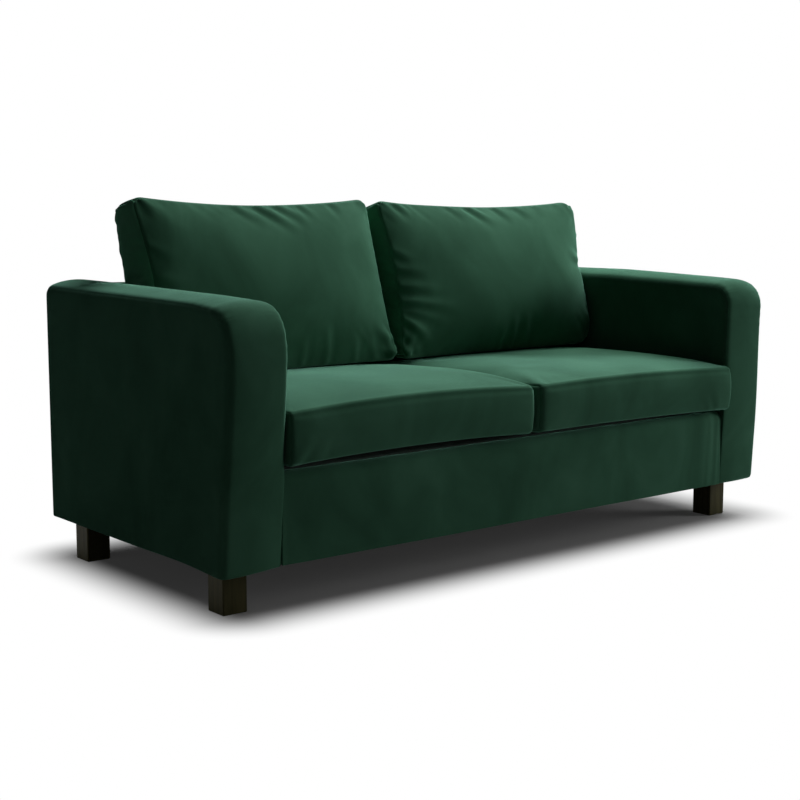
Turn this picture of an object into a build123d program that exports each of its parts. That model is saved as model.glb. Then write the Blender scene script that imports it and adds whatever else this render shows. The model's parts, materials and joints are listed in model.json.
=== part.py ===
from build123d import *
import math
import os

# Two-seat upholstered sofa with square block legs and four loose cushions.
# X runs along the sofa, +Y points to its back and +Z up. The origin is on the floor, under the middle.
# Left and right are as seen from the front.

# Body
overall_width = 1720
arm_width = 147
arm_edge_height = 654
arm_crown = 15
arm_front_bulge = 6
arm_front_radius = 68
arm_back_radius = 36
rail_set_back = 30
deck_height = 306
rail_edge_radius = 16

# Backrest
backrest_height = 664
backrest_thickness = 80
backrest_back_radius = 30
backrest_front_radius = 25

# Legs
leg_side = 60
leg_height = 107
leg_side_inset = 43
leg_front_inset = 67
leg_back_inset = 42
leg_edge = 2

# Seat cushions
sitting_depth = 515
seat_thickness = 121
seat_crown = 17
seat_bow = 7
seat_front_bulge = 5
seat_side_draw = 6
seat_gap = 4
heel_room = 30
seat_rear_gap = 5

# Back cushions
back_foot_depth = 125
back_length = 439
back_lean = 18
back_boxing = 105
back_front_crown = 36
back_bow = 18
back_rear_crown = 15
back_top_dip = 12
back_side_draw = 12
back_gap = 14
rest_gap = 3

# Layers of the upholstery
fabric = 2
dust_sheet = 1
side_foam = 10
front_foam = 16
top_foam = 30
rear_foam = 6
rail_foam = 8
deck_foam = 12
dust_margin = 12

# Wooden frame
board = 22
beam_drop = 20
hardboard = 3
plywood = 12
post_width = 80
post_depth = 48
top_rail_height = 50
backrest_foam = 22

# Elastic webbing
webbing = 2
webbing_width = 70
webbing_step = 138
back_webbing_width = 60
back_webbing_step = 80

# Fasteners
bolt_radius = 4
bolt_sides = 12
bolt_head_radius = 7.5
bolt_head = 5.5
bolt_tail = 8
bolt_height = 200
bolt_end_distance = 150
nut_radius = 8
nut_height = 6
leg_bolt_depth = 42
leg_bolt_tail = 14

# Zips of the loose covers
zip_length = 520
zip_height = 14
slider_length = 14
slider_width = 10
slider_thickness = 3
tab_length = 22
tab_width = 6
tab_thickness = 1.2

# Clearances
fit_gap = 0.3
slot_gap = 0.2
bolt_gap = 0.1
bolt_clear = 3
side_gap = 3


def crown_radius(half_chord, rise):
    """Radius of a shallow arc, from half its chord and its rise."""
    return (half_chord**2 + rise**2) / (2 * rise)


# Heights
base = leg_height + dust_sheet
seat_edge_top = deck_height + seat_thickness
rail_top = deck_height - fabric - deck_foam - webbing

# Side outline of a back cushion, counted from its front foot, with the hub of its crowned front panel
lean_sin = math.sin(math.radians(back_lean))
lean_cos = math.cos(math.radians(back_lean))
back_radius = crown_radius(back_length / 2, back_front_crown)
hub_depth = back_radius - back_front_crown
hub_run = back_length / 2 * lean_sin + hub_depth * lean_cos
hub_rise = back_length / 2 * lean_cos - hub_depth * lean_sin
foot_bulge = math.sqrt((back_radius + back_bow) ** 2 - hub_rise**2) - hub_run
back_top_run = back_length * lean_sin + back_boxing * lean_cos
back_top_rise = back_length * lean_cos - back_boxing * lean_sin
rear_slope = (back_top_run - back_foot_depth) / back_top_rise
rear_stretch = math.hypot(1, rear_slope)

# Depths, counted from the foremost line of the sofa, and the crown that a back cushion stands on
seat_depth = sitting_depth + back_foot_depth + heel_room
seat_half_chord = (seat_depth - seat_front_bulge) / 2
seat_middle = (seat_depth + seat_front_bulge) / 2
seat_radius = crown_radius(seat_half_chord, seat_crown)
seat_hub_height = seat_edge_top + seat_crown - seat_radius
stand_depth = sitting_depth - foot_bulge - seat_middle
back_base = seat_hub_height + math.sqrt((seat_radius + seat_bow) ** 2 - stand_depth**2) + fit_gap
rest_run = back_foot_depth + rear_slope * (backrest_height - back_base)
overall_depth = sitting_depth + rest_run + back_rear_crown + rest_gap + backrest_thickness

# Main lines of the plan
half_width = overall_width / 2
arm_inner = half_width - arm_width
front_line = -overall_depth / 2
back_line = overall_depth / 2
rail_face = front_line + rail_set_back
seat_rear = front_line + seat_depth
back_foot = front_line + sitting_depth
backrest_foot = seat_rear + seat_rear_gap
backrest_top_front = back_line - backrest_thickness

# Frame lines
unit_half = arm_inner - fit_gap
front_rail_front = rail_face + fabric + rail_foam
front_rail_back = front_rail_front + board
post_rear = back_line - fabric - bolt_tail - bolt_clear
post_front = post_rear - post_depth
rear_rail_front = post_front - board
layer = fabric + fit_gap
arm_frame_front = rail_face + layer + front_foam
arm_frame_back = back_line - layer - rear_foam
arm_frame_top = arm_edge_height - layer - top_foam
arm_panel_outer = half_width - layer - side_foam
arm_panel_inner = arm_inner + layer + side_foam
arm_frame_outer = arm_panel_outer - hardboard
arm_frame_inner = arm_panel_inner + plywood
top_rail_top = backrest_height - layer - backrest_foam
hole_radius = bolt_radius + fit_gap
sides = (("left", -1), ("right", 1))

os.makedirs("parts", exist_ok=True)


def keep(piece, name):
    """Label a finished piece and write it."""
    piece.label = name
    export_step(piece, f"parts/{name}.step")


def slab(x, y, z, bores=()):
    """Board between the given limits along each axis, with bores square to given planes."""
    with BuildPart() as piece:
        with Locations(((x[0] + x[1]) / 2, (y[0] + y[1]) / 2, (z[0] + z[1]) / 2)):
            Box(abs(x[1] - x[0]), abs(y[1] - y[0]), abs(z[1] - z[0]))
        for plane, radius in bores:
            with BuildSketch(plane):
                RegularPolygon(radius, bolt_sides)
            extrude(amount=overall_depth, both=True, mode=Mode.SUBTRACT)
    return piece.part


def shell(outer, inner, bores=()):
    """What is left of an outer form around an inner one, with bores square to given planes."""
    with BuildPart() as piece:
        add(outer)
        add(inner, mode=Mode.SUBTRACT)
        for plane, radius in bores:
            with BuildSketch(plane):
                RegularPolygon(radius, bolt_sides)
            extrude(amount=arm_width / 2, both=True, mode=Mode.SUBTRACT)
    return piece.part


# Bolt places: each plane lies under a bolt's head and faces along its shank
leg_ys = (
    ("front", rail_face + leg_front_inset + leg_side / 2),
    ("rear", back_line - leg_back_inset - leg_side / 2),
)
leg_x = half_width - leg_side_inset - leg_side / 2
leg_planes = {
    f"{side}_{end}": Plane((sign * leg_x, y, leg_height)) for side, sign in sides for end, y in leg_ys
}
arm_bolt_ys = (rail_face + bolt_end_distance, back_line - bolt_end_distance)
arm_planes = {
    side: [
        Plane((sign * arm_frame_inner, y, bolt_height), x_dir=(0, 1, 0), z_dir=(-sign, 0, 0))
        for y in arm_bolt_ys
    ]
    for side, sign in sides
}
post_xs = {"left": -unit_half + post_width / 2, "centre": 0, "right": unit_half - post_width / 2}
head_room = bolt_head_radius + bolt_clear
back_bolt_xs = {
    "left": -unit_half + board + head_room,
    "centre": board / 2 + head_room,
    "right": unit_half - board - head_room,
}
back_planes = {
    place: Plane((x, rear_rail_front, bolt_height), x_dir=(1, 0, 0), z_dir=(0, 1, 0))
    for place, x in back_bolt_xs.items()
}


# Legs
for place, plane in leg_planes.items():
    with BuildPart() as leg:
        with BuildSketch(Plane.XY):
            with Locations((plane.origin.X, plane.origin.Y)):
                Rectangle(leg_side, leg_side)
        extrude(amount=leg_height)
        chamfer(leg.edges().filter_by(Axis.Z), leg_edge)
        chamfer(leg.faces().sort_by(Axis.Z)[0].edges(), leg_edge)
        with BuildSketch(plane):
            RegularPolygon(bolt_radius + bolt_gap, bolt_sides)
        extrude(amount=-leg_bolt_depth, mode=Mode.SUBTRACT)
    keep(leg.part, f"{place}_leg")

with BuildPart() as leg_bolts:
    for plane in leg_planes.values():
        with BuildSketch(plane.offset(-leg_bolt_depth)):
            RegularPolygon(bolt_radius, bolt_sides)
        extrude(amount=leg_bolt_depth + dust_sheet + board + leg_bolt_tail)
keep(leg_bolts.part, "leg_bolts")


def bolt_set(planes, grip):
    """Hexagon bolts that clamp a given thickness."""
    with BuildPart() as bolts:
        for plane in planes:
            with BuildSketch(plane):
                RegularPolygon(bolt_head_radius, 6)
            extrude(amount=-bolt_head)
            with BuildSketch(plane):
                RegularPolygon(bolt_radius, bolt_sides)
            extrude(amount=grip + bolt_tail)
    return bolts.part


arm_grip = arm_frame_inner - unit_half + board
back_grip = board + post_depth
keep(bolt_set(arm_planes["left"] + arm_planes["right"], arm_grip), "arm_bolts")
keep(bolt_set(back_planes.values(), back_grip), "back_bolts")

# Nuts: each sits on the far face of what its bolt clamps
nut_planes = [plane.offset(dust_sheet + board) for plane in leg_planes.values()]
nut_planes += [plane.offset(arm_grip) for side, sign in sides for plane in arm_planes[side]]
nut_planes += [plane.offset(back_grip) for plane in back_planes.values()]
with BuildPart() as nuts:
    for plane in nut_planes:
        with BuildSketch(plane):
            RegularPolygon(nut_radius, 6)
            RegularPolygon(bolt_radius + bolt_gap, bolt_sides, mode=Mode.SUBTRACT)
        extrude(amount=nut_height)
keep(nuts.part, "nuts")

# Dust cover under the whole body
dust_x = half_width - dust_margin
keep(
    slab(
        (-dust_x, dust_x),
        (rail_face + dust_margin, back_line - dust_margin),
        (leg_height, base),
        [(plane, hole_radius) for plane in leg_planes.values()],
    ),
    "dust_cover",
)


def arm_form(sign, inset, bottom):
    """Padded arm: what its side, front and plan outlines share, drawn in by an inset all round."""
    outer = sign * (half_width - inset)
    inner = sign * (arm_inner + inset)
    middle = (outer + inner) / 2
    edge = arm_edge_height - inset
    top = edge + arm_crown
    front = front_line + inset
    back = back_line - inset
    lean = (rail_face - front_line) / (arm_edge_height - base)
    foot = (rail_face + inset + lean * (base - bottom), bottom)
    with BuildPart() as form:
        with BuildSketch(Plane.YZ.offset(min(outer, inner))):
            with BuildLine():
                FilletPolyline(
                    foot,
                    (front, top),
                    (back, top),
                    (back, bottom),
                    radius=(arm_front_radius - inset, arm_back_radius - inset),
                )
                Line((back, bottom), foot)
            make_face()
        extrude(amount=abs(outer - inner))
        with BuildSketch(Plane.XZ):
            with BuildLine():
                ThreePointArc((outer, edge), (middle, top), (inner, edge))
                Polyline((inner, edge), (inner, bottom), (outer, bottom), (outer, edge))
            make_face()
        extrude(amount=overall_depth, both=True, mode=Mode.INTERSECT)
        with BuildSketch(Plane.XY):
            with BuildLine():
                ThreePointArc(
                    (outer, front + arm_front_bulge), (middle, front), (inner, front + arm_front_bulge)
                )
                Polyline(
                    (inner, front + arm_front_bulge),
                    (inner, back),
                    (outer, back),
                    (outer, front + arm_front_bulge),
                )
            make_face()
        extrude(amount=arm_edge_height + overall_depth, both=True, mode=Mode.INTERSECT)
    return form.part


# Arms: a boxed wooden frame, panels on both sides, foam and a sewn cover
arm_y = (arm_frame_front, arm_frame_back)
for side, sign in sides:
    frame_x = (sign * arm_frame_inner, sign * arm_frame_outer)
    leg_bores = [(leg_planes[f"{side}_{end}"], hole_radius) for end, y in leg_ys]
    bolt_bores = [(plane, hole_radius) for plane in arm_planes[side]]
    keep(slab(frame_x, arm_y, (base, base + board), leg_bores), f"{side}_arm_bottom_rail")
    keep(slab(frame_x, arm_y, (arm_frame_top - board, arm_frame_top)), f"{side}_arm_top_rail")
    post_z = (base + board, arm_frame_top - board)
    keep(slab(frame_x, (arm_frame_front, arm_frame_front + board), post_z), f"{side}_arm_front_post")
    keep(slab(frame_x, (arm_frame_back - board, arm_frame_back), post_z), f"{side}_arm_rear_post")
    panel_z = (base, arm_frame_top)
    outer_x = (sign * arm_frame_outer, sign * arm_panel_outer)
    inner_x = (sign * arm_panel_inner, sign * arm_frame_inner)
    keep(slab(outer_x, arm_y, panel_z), f"{side}_arm_outer_panel")
    keep(slab(inner_x, arm_y, panel_z, bolt_bores), f"{side}_arm_inner_panel")

    core = slab(
        (sign * (arm_panel_inner - fit_gap), sign * (arm_panel_outer + fit_gap)),
        (arm_frame_front - fit_gap, arm_frame_back + fit_gap),
        (base - board, arm_frame_top + fit_gap),
    )
    keep(shell(arm_form(sign, layer, base), core, bolt_bores), f"{side}_arm_foam")
    void = arm_form(sign, fabric, base - board)
    keep(shell(arm_form(sign, 0, base), void, bolt_bores), f"{side}_arm_cover")

# Seat frame between the arms
unit_x = (-unit_half, unit_half)
rail_z = (base, rail_top)
inner_y = (front_rail_back, rear_rail_front)
back_bores = [(plane, hole_radius) for plane in back_planes.values()]
keep(slab(unit_x, (front_rail_front, front_rail_back), rail_z), "seat_front_rail")
keep(slab(unit_x, (rear_rail_front, post_front), rail_z, back_bores), "seat_rear_rail")
keep(slab((-board / 2, board / 2), inner_y, (base, rail_top - beam_drop)), "seat_centre_beam")
for side, sign in sides:
    end_x = (sign * unit_half, sign * (unit_half - board))
    nut_bores = [(plane, hole_radius) for plane in arm_planes[side]]
    keep(slab(end_x, inner_y, rail_z, nut_bores), f"{side}_seat_end_rail")

# Seat webbing: elastic straps from the front rail to the rear rail
webbing_count = int(2 * (unit_half - board) // webbing_step)
strap_length = post_front - front_rail_front
with BuildPart() as seat_webbing:
    with BuildSketch(Plane.XY.offset(rail_top)):
        with Locations((0, (post_front + front_rail_front) / 2)):
            with GridLocations(webbing_step, 1, webbing_count, 1):
                Rectangle(webbing_width, strap_length)
    extrude(amount=webbing)
keep(seat_webbing.part, "seat_webbing")

# Seat deck: a foam pad on the straps, under a tight cloth
deck_y = (front_rail_back, backrest_foot - fabric)
deck_z = deck_height - fabric
keep(slab(unit_x, deck_y, (deck_z - deck_foam, deck_z)), "seat_deck_pad")
keep(slab(unit_x, deck_y, (deck_z, deck_height)), "seat_deck_cover")


def bent_strip(outline, radii, thickness_outline, thickness_radii):
    """Strip along the sofa between two bent lines that run side by side."""
    with BuildPart() as strip:
        with BuildSketch(Plane.YZ):
            with BuildLine():
                FilletPolyline(*outline, radius=radii)
                Line(outline[-1], thickness_outline[-1])
                FilletPolyline(*thickness_outline, radius=thickness_radii)
                Line(thickness_outline[0], outline[0])
            make_face()
        extrude(amount=unit_half, both=True)
    return strip.part


def rail_line(inset):
    """Line up the front rail and back over its top edge, drawn in by an inset."""
    return (
        (rail_face + inset, base),
        (rail_face + inset, deck_height - inset),
        (front_rail_back, deck_height - inset),
    )


# Front rail upholstery
keep(
    bent_strip(rail_line(0), [rail_edge_radius], rail_line(fabric), [rail_edge_radius - fabric]),
    "front_rail_cover",
)
strap_top = rail_top + webbing
pad_inside = ((front_rail_front, base), (front_rail_front, strap_top), (front_rail_back, strap_top))
keep(
    bent_strip(rail_line(layer), [rail_edge_radius - layer], pad_inside, [0]),
    "front_rail_pad",
)

# Backrest frame
keep(
    slab(unit_x, (post_front, post_rear), (top_rail_top - top_rail_height, top_rail_top)),
    "back_top_rail",
)
for place, x in post_xs.items():
    keep(
        slab(
            (x - post_width / 2, x + post_width / 2),
            (post_front, post_rear),
            (base, top_rail_top - top_rail_height),
            [(back_planes[place], hole_radius)],
        ),
        f"{place}_back_post",
    )

# Backrest webbing: straps across the posts
back_webbing_count = int((top_rail_top - deck_height) // back_webbing_step)
back_webbing_middle = (top_rail_top + deck_height) / 2
with BuildPart() as back_webbing:
    with BuildSketch(Plane.XZ.offset(-post_front)):
        with Locations((0, back_webbing_middle)):
            with GridLocations(1, back_webbing_step, 1, back_webbing_count):
                Rectangle(2 * unit_half, back_webbing_width)
    extrude(amount=webbing)
keep(back_webbing.part, "back_webbing")


def backrest_line(inset, drop):
    """Line up the rear of the backrest, over its top and down its leaning front."""
    slope = (backrest_top_front - backrest_foot) / (backrest_height - deck_height)
    foot_z = deck_height + fit_gap - drop
    foot_y = backrest_foot + slope * (foot_z - deck_height)
    return (
        (back_line - inset, base - drop),
        (back_line - inset, backrest_height - inset),
        (backrest_top_front + inset, backrest_height - inset),
        (foot_y + inset, foot_z),
    )


def backrest_form(inset, drop):
    """Backrest between the arms, drawn in by an inset and open along its slanted lower side."""
    line = backrest_line(inset, drop)
    with BuildPart() as form:
        with BuildSketch(Plane.YZ):
            with BuildLine():
                FilletPolyline(*line, radius=(backrest_back_radius - inset, backrest_front_radius - inset))
                Line(line[-1], line[0])
            make_face()
        extrude(amount=unit_half, both=True)
    return form.part


keep(shell(backrest_form(0, 0), backrest_form(fabric, board)), "backrest_cover")
frame_space = slab(
    unit_x,
    (post_front - webbing, back_line),
    (base - board, top_rail_top + fit_gap),
)
below_deck = slab(unit_x, (backrest_foot - board, back_line), (base - board, deck_height + fit_gap))
with BuildPart() as backrest_pad:
    add(backrest_form(layer, 0))
    add(frame_space, mode=Mode.SUBTRACT)
    add(below_deck, mode=Mode.SUBTRACT)
keep(backrest_pad.part, "backrest_foam")


def seat_form(sign, inset):
    """Seat cushion: a crowned top over a bulging front and drawn-in ends, drawn in by an inset all round."""
    near = sign * seat_gap / 2
    far = sign * (arm_inner - side_gap)
    middle = (near + far) / 2
    left, right = sorted((near, far))
    start = left + inset
    end = right - inset
    front = front_line + seat_front_bulge + inset
    rear = seat_rear - inset
    centre = front_line + seat_middle
    low = deck_height + inset
    lid = seat_edge_top + seat_crown + seat_bow
    radius = seat_radius - inset
    hub = (0, centre, seat_hub_height)
    with BuildPart() as form:
        with BuildSketch(Plane.YZ):
            with BuildLine():
                ThreePointArc((front, low), (front_line + inset, (low + lid) / 2), (front, lid))
                Polyline((front, lid), (rear, lid), (rear, low), (front, low))
            make_face()
        extrude(amount=half_width, both=True)
        with BuildSketch(Plane.XY):
            with BuildLine():
                ThreePointArc((start, seat_rear), (start + seat_side_draw, centre), (start, front_line))
                Line((start, front_line), (end, front_line))
                ThreePointArc((end, front_line), (end - seat_side_draw, centre), (end, seat_rear))
                Line((end, seat_rear), (start, seat_rear))
            make_face()
        extrude(amount=lid, mode=Mode.INTERSECT)
        with BuildSketch(Plane(hub)):
            with BuildLine():
                ThreePointArc((left, radius), (middle, radius + seat_bow), (right, radius))
                Polyline((right, radius), (right, 0), (left, 0), (left, radius))
            make_face()
        revolve(axis=Axis(hub, (1, 0, 0)), revolution_arc=180, mode=Mode.INTERSECT)
    return form.part


def back_form(sign, inset):
    """Leaning back cushion: crowned panels between drawn-in ends and a dipping top, drawn in by an inset."""
    near = sign * back_gap / 2
    far = sign * (arm_inner - side_gap)
    middle = (near + far) / 2
    left, right = sorted((near, far))
    start = left + inset
    end = right - inset
    half_length = back_length / 2
    low = back_base + inset
    top = back_length - inset
    reach = overall_depth / 2
    radius = back_radius - inset
    panel = Plane((0, back_foot, back_base), x_dir=(1, 0, 0), z_dir=(0, -lean_cos, lean_sin))
    hub = (0, back_foot + hub_run, back_base + hub_rise)
    rear_foot = (back_foot + back_foot_depth + inset * (rear_slope - rear_stretch), low)
    rear_depth = back_boxing - inset
    rear_top = (
        back_foot + back_length * lean_sin + rear_depth * lean_cos,
        back_base + back_length * lean_cos - rear_depth * lean_sin,
    )
    rear_middle = (
        (rear_foot[0] + rear_top[0]) / 2 + back_rear_crown / rear_stretch,
        (rear_foot[1] + rear_top[1]) / 2 - back_rear_crown * rear_slope / rear_stretch,
    )
    with BuildPart() as form:
        with BuildSketch(Plane.YZ):
            with BuildLine():
                ThreePointArc(rear_foot, rear_middle, rear_top)
                Polyline(
                    rear_top,
                    (rear_top[0] + board * lean_sin, rear_top[1] + board * lean_cos),
                    (rear_top[0] - reach, rear_top[1] + reach),
                    (rear_foot[0] - reach, low),
                    rear_foot,
                )
            make_face()
        extrude(amount=half_width, both=True)
        with BuildSketch(panel):
            with BuildLine():
                ThreePointArc((start, top), (start + back_side_draw, half_length), (start, 0))
                Polyline((start, 0), (start, -reach), (end, -reach), (end, 0))
                ThreePointArc((end, 0), (end - back_side_draw, half_length), (end, top))
                ThreePointArc((end, top), (middle, top - back_top_dip), (start, top))
            make_face()
        extrude(amount=reach, both=True, mode=Mode.INTERSECT)
        with BuildSketch(Plane(hub, x_dir=(1, 0, 0), z_dir=panel.z_dir)):
            with BuildLine():
                ThreePointArc((left, radius), (middle, radius + back_bow), (right, radius))
                Polyline((right, radius), (right, 0), (left, 0), (left, radius))
            make_face()
        revolve(axis=Axis(hub, (1, 0, 0)), revolution_arc=180, mode=Mode.INTERSECT)
    return form.part


def zip_strip(plane, length, height):
    """Block for a zip or its slot, lying under a plane whose X runs along the zip."""
    with BuildPart() as strip:
        with BuildSketch(plane):
            Rectangle(length, height)
        extrude(amount=-fabric)
    return strip.part


def zip_slider(plane):
    """Shield-shaped slider with its pull tab, riding on a plane at the closed end of a zip."""
    start = -zip_length / 2 + slider_length / 2
    nose = start + slider_length
    half = slider_width / 2
    with BuildPart() as slider:
        with BuildSketch(plane.offset(slot_gap)):
            Polygon((start, -half), (start, half), (nose, half / 2), (nose, -half / 2), align=None)
        extrude(amount=slider_thickness)
        with BuildSketch(plane.offset(slot_gap + slider_thickness / 2)):
            with Locations((nose + tab_length / 2, 0)):
                Rectangle(tab_length, tab_width)
        extrude(amount=tab_thickness)
    return slider.part


# Loose cushions: a zipped cover over a filling
seat_zip_height = (deck_height + seat_edge_top) / 2
back_zip_depth = back_foot + back_foot_depth - 2 * zip_height
for side, sign in sides:
    seat_x = sign * (seat_gap / 2 + arm_inner - side_gap) / 2
    back_x = sign * (back_gap / 2 + arm_inner - side_gap) / 2
    cushions = (
        ("seat", seat_form, Plane((seat_x, seat_rear, seat_zip_height), x_dir=(1, 0, 0), z_dir=(0, 1, 0))),
        ("back", back_form, Plane((back_x, back_zip_depth, back_base), x_dir=(1, 0, 0), z_dir=(0, 0, -1))),
    )
    for kind, form, zip_plane in cushions:
        name = f"{side}_{kind}_cushion"
        outer = form(sign, 0)
        inner = form(sign, fabric)
        slot = zip_strip(zip_plane, zip_length, zip_height)
        with BuildPart() as cover:
            add(outer)
            add(inner, mode=Mode.SUBTRACT)
            add(slot, mode=Mode.SUBTRACT)
        keep(cover.part, f"{name}_cover")
        keep(form(sign, layer), f"{name}_filling")
        keep(zip_strip(zip_plane, zip_length - 2 * slot_gap, zip_height - 2 * slot_gap), f"{name}_zip")
        keep(zip_slider(zip_plane), f"{name}_zip_slider")
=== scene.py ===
import json
import math

import bpy
import numpy as np
from mathutils import Euler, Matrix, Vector, noise


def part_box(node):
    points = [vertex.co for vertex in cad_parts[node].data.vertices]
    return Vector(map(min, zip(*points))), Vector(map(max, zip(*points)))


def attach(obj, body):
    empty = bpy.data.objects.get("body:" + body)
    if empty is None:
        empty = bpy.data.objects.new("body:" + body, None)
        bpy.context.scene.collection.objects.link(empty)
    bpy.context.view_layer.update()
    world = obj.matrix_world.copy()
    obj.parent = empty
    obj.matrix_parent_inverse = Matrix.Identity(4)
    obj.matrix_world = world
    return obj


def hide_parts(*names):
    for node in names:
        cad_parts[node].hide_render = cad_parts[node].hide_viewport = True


# Two-seat velvet sofa on dark block legs. All sizes are in metres.

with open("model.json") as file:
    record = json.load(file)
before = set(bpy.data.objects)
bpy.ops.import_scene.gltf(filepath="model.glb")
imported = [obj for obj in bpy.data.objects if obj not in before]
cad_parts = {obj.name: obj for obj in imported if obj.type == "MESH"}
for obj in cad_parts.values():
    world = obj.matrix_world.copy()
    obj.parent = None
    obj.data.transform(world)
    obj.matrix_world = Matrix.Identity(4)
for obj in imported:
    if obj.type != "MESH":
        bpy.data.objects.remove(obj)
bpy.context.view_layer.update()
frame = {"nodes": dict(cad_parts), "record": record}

# Camera fitted to the photograph
CAMERA_PLACE = (-2.406, -2.836, 0.856)
CAMERA_TURN = math.radians(39.17)
CAMERA_PITCH = math.radians(7.68)
CAMERA_LENS = 66.0
CAMERA_SENSOR = 36

# Lamps: name, place, point that it is turned to, size and power in watts
LAMPS = (
    ("top_light", (2.1, 0.5, 3.2), (0.1, 0, 0.4), 2.4, 126),
    ("front_light", (4.2, -2.6, 1.4), (0.1, 0, 0.4), 1.5, 63),
    ("left_light", (-4.0, 0.3, 1.6), (0, 0, 0.4), 2.0, 1.6),
    ("front_left_light", (-3.6, -2.4, 1.8), (0, 0, 0.4), 2.0, 1.6),
)
WORLD_FILL = 0.006

# Floor: half its side, and its grey in the painted patch of shade under the sofa and for the light that it
# throws back
FLOOR_REACH = 40
FLOOR_SHADE_GREY = 0.4
FLOOR_BOUNCE_GREY = 0.2
# Painted grey patch of shade under the sofa, in which the lamps' shadow also falls: middle, half its size,
# width of its fading edge, and its share of white
FLOOR_SHADE_MIDDLE = (0.019, 0.035, 0)
FLOOR_SHADE_HALF = (0.794, 0.339, 1)
FLOOR_SHADE_FADE = 0.20
FLOOR_SHADE_WHITE = 0.02

# Nap colours of the velvet, each with its place on the ramp
VELVET_COLOURS = (
    (0.30, (0.037, 0.112, 0.065)),
    (0.52, (0.052, 0.151, 0.090)),
    (0.74, (0.074, 0.200, 0.124)),
)
# Painted light and shade on copies of the velvet: the boxing of the back cushions is painted lighter, more on
# the left, and the inner panels of the arms are painted darker
VELVET_BOXING_PAINTED_LIGHT = {"left": 2.0, "right": 1.15}
VELVET_INNER_PAINTED_SHADE = 0.55

# Arms
ARM_FRONT_RADIUS = 0.060
ARM_BACK_RADIUS = 0.022
ARM_CROWN = 0.015
ARM_BULGE = 0.006
ARM_REAR_BULGE_SHARE = 0.3
ARM_SET_BACK = 0.030
ARM_SEAM_RADIUS = 0.016
# Radius of the inner seam where it meets the front rail and the backrest
ARM_BUTT_RADIUS = 0.0012
ARM_SIDE_PUFF = 0.003
# How far the front swells or draws back, and the shares of the height where that starts, is full and fades
ARM_FRONT_SHAPE = {"left": (0.017, 0.05, 0.72, 0.80), "right": (-0.012, 0.25, 0.90, 2.0)}
ARM_FRONT_FADE = 0.2
ARM_FRONT_DEPTH = 0.10
ARM_LIFT = {"left": 0.005, "right": -0.005}
# How far the top drops towards the front, and the length that slopes
ARM_FRONT_DROP = {"left": (0.010, 0.80), "right": (0.012, 0.45)}
# How far the outer seam drops before the front bend
ARM_BROW = {"left": 0.008, "right": 0.003}
ARM_FOOT_RADIUS = {"left": 0.005, "right": 0.012}
ARM_HEM = 0.005
ARM_HEM_HEIGHT = 0.12
# Drop of the lower front corner, and how far it reaches back and across
ARM_TOE = {"left": 0.007, "right": 0.0}
ARM_TOE_REACH = (0.12, 0.10)
ARM_PUCKER = 0.0012
ARM_PUCKER_STEP = 0.026
ARM_PUCKER_REACH = 0.016
ARM_PUCKER_BEND = 0.08
ARM_WAVE = 0.0018

# Front rail
RAIL_SEAM_RADIUS = 0.0008
RAIL_TOP_RADIUS = 0.026
RAIL_BACK_RADIUS = 0.002
RAIL_TOP_DROP = 0.005
RAIL_HEM = 0.004
RAIL_HEM_HEIGHT = 0.10
RAIL_SWELL = 0.004
RAIL_END_SINK = 0.0005
RAIL_END_LENGTH = 0.10
RAIL_FACE_DEPTH = 0.01
RAIL_WAVE = 0.0022
# Pleats at the right end: distance from the end and height
RAIL_PLEATS = ((0.020, 0.0018), (0.052, 0.0010))
RAIL_PLEAT_WIDTH = 0.006
RAIL_PLEAT_WANDER = 0.003
RAIL_PLEAT_SLANT = 0.010
# Crease at the left end: distance from the end, depth and width
RAIL_CREASE = (0.012, 0.0004, 0.005)

# Backrest
BACKREST_THICKNESS = 0.080
BACKREST_SEAM_RADIUS = 0.005
BACKREST_FRONT_RADIUS = 0.025
BACKREST_BACK_RADIUS = 0.030
BACKREST_SEAM_DROP = 0.034
BACKREST_WAVE = 0.002
BACKREST_SWELL = 0.003
BACKREST_GAP = 0.001

# Seat deck: edge radius, depth of its waves, and the least that it lies below its solid
DECK_RADIUS = 0.004
DECK_WAVE = 0.0016
DECK_LEAST_DIP = 0.0002

# Dust cloth: points along and across, thickness, sag in its middle and waves in the sag
DUST_POINTS = (86, 40)
DUST_THICKNESS = 0.0006
DUST_SAG = 0.004
DUST_WAVE = 0.001
DUST_GAP = 0.0002

# Seat cushions
SEAT_EDGE_HEIGHT = 0.121
SEAT_CROWN = 0.017
SEAT_BOW = 0.007
SEAT_BULGE = 0.005
SEAT_DRAW = 0.004
SEAT_RADIUS = 0.013
# Corner radii of the front face and of the upright edges, at the left and right end
SEAT_CORNERS = {"left": (0.006, 0.018), "right": (0.016, 0.010)}
SEAT_UPRIGHT_CORNERS = {"left": (0.009, 0.022), "right": (0.030, 0.012)}
# Lift of the front edge at its left and right end, and how much more it is lifted in its middle
SEAT_FRONT_LIFT = {"left": (0.008, 0.008, 0.009), "right": (0.008, 0.001, 0.004)}
SEAT_LIFT_DEPTH = 0.22
SEAT_SWELL = {"left": 0.013, "right": 0.003}
SEAT_END_BULGE = {"left": 0.0, "right": 0.011}
SEAT_STITCH = 0.0135
SEAT_WAVE = 0.0014
# Gap under the cushion, and the share of the crown and the sink with which the simulation starts
SEAT_GAP = 0.0005
SEAT_START_CROWN = 0.6
SEAT_START_SINK = 0.004
# Furthest that the simulation moves a point, and how far the cloth may pass the top, bottom, ends and front
SEAT_CAP = 0.024
SEAT_TOP_ROOM = 0.004
SEAT_LEAST_GAP = 0.0004
SEAT_UNDER_LIFT = 0.8
SEAT_END_ROOM = 0.001
SEAT_FRONT_ROOM = 0.007

# Back cushions
BACK_FOOT_DEPTH = 0.125
BACK_LENGTH = 0.439
BACK_LEAN = math.radians(18)
BACK_BOXING = 0.105
BACK_PILLOW = 0.058
BACK_PILLOW_POWER = 0.75
BACK_EDGE_CROWN = 0.010
BACK_REAR_CROWN = 0.015
BACK_EAR = 0.004
BACK_DIP = 0.018
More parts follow.
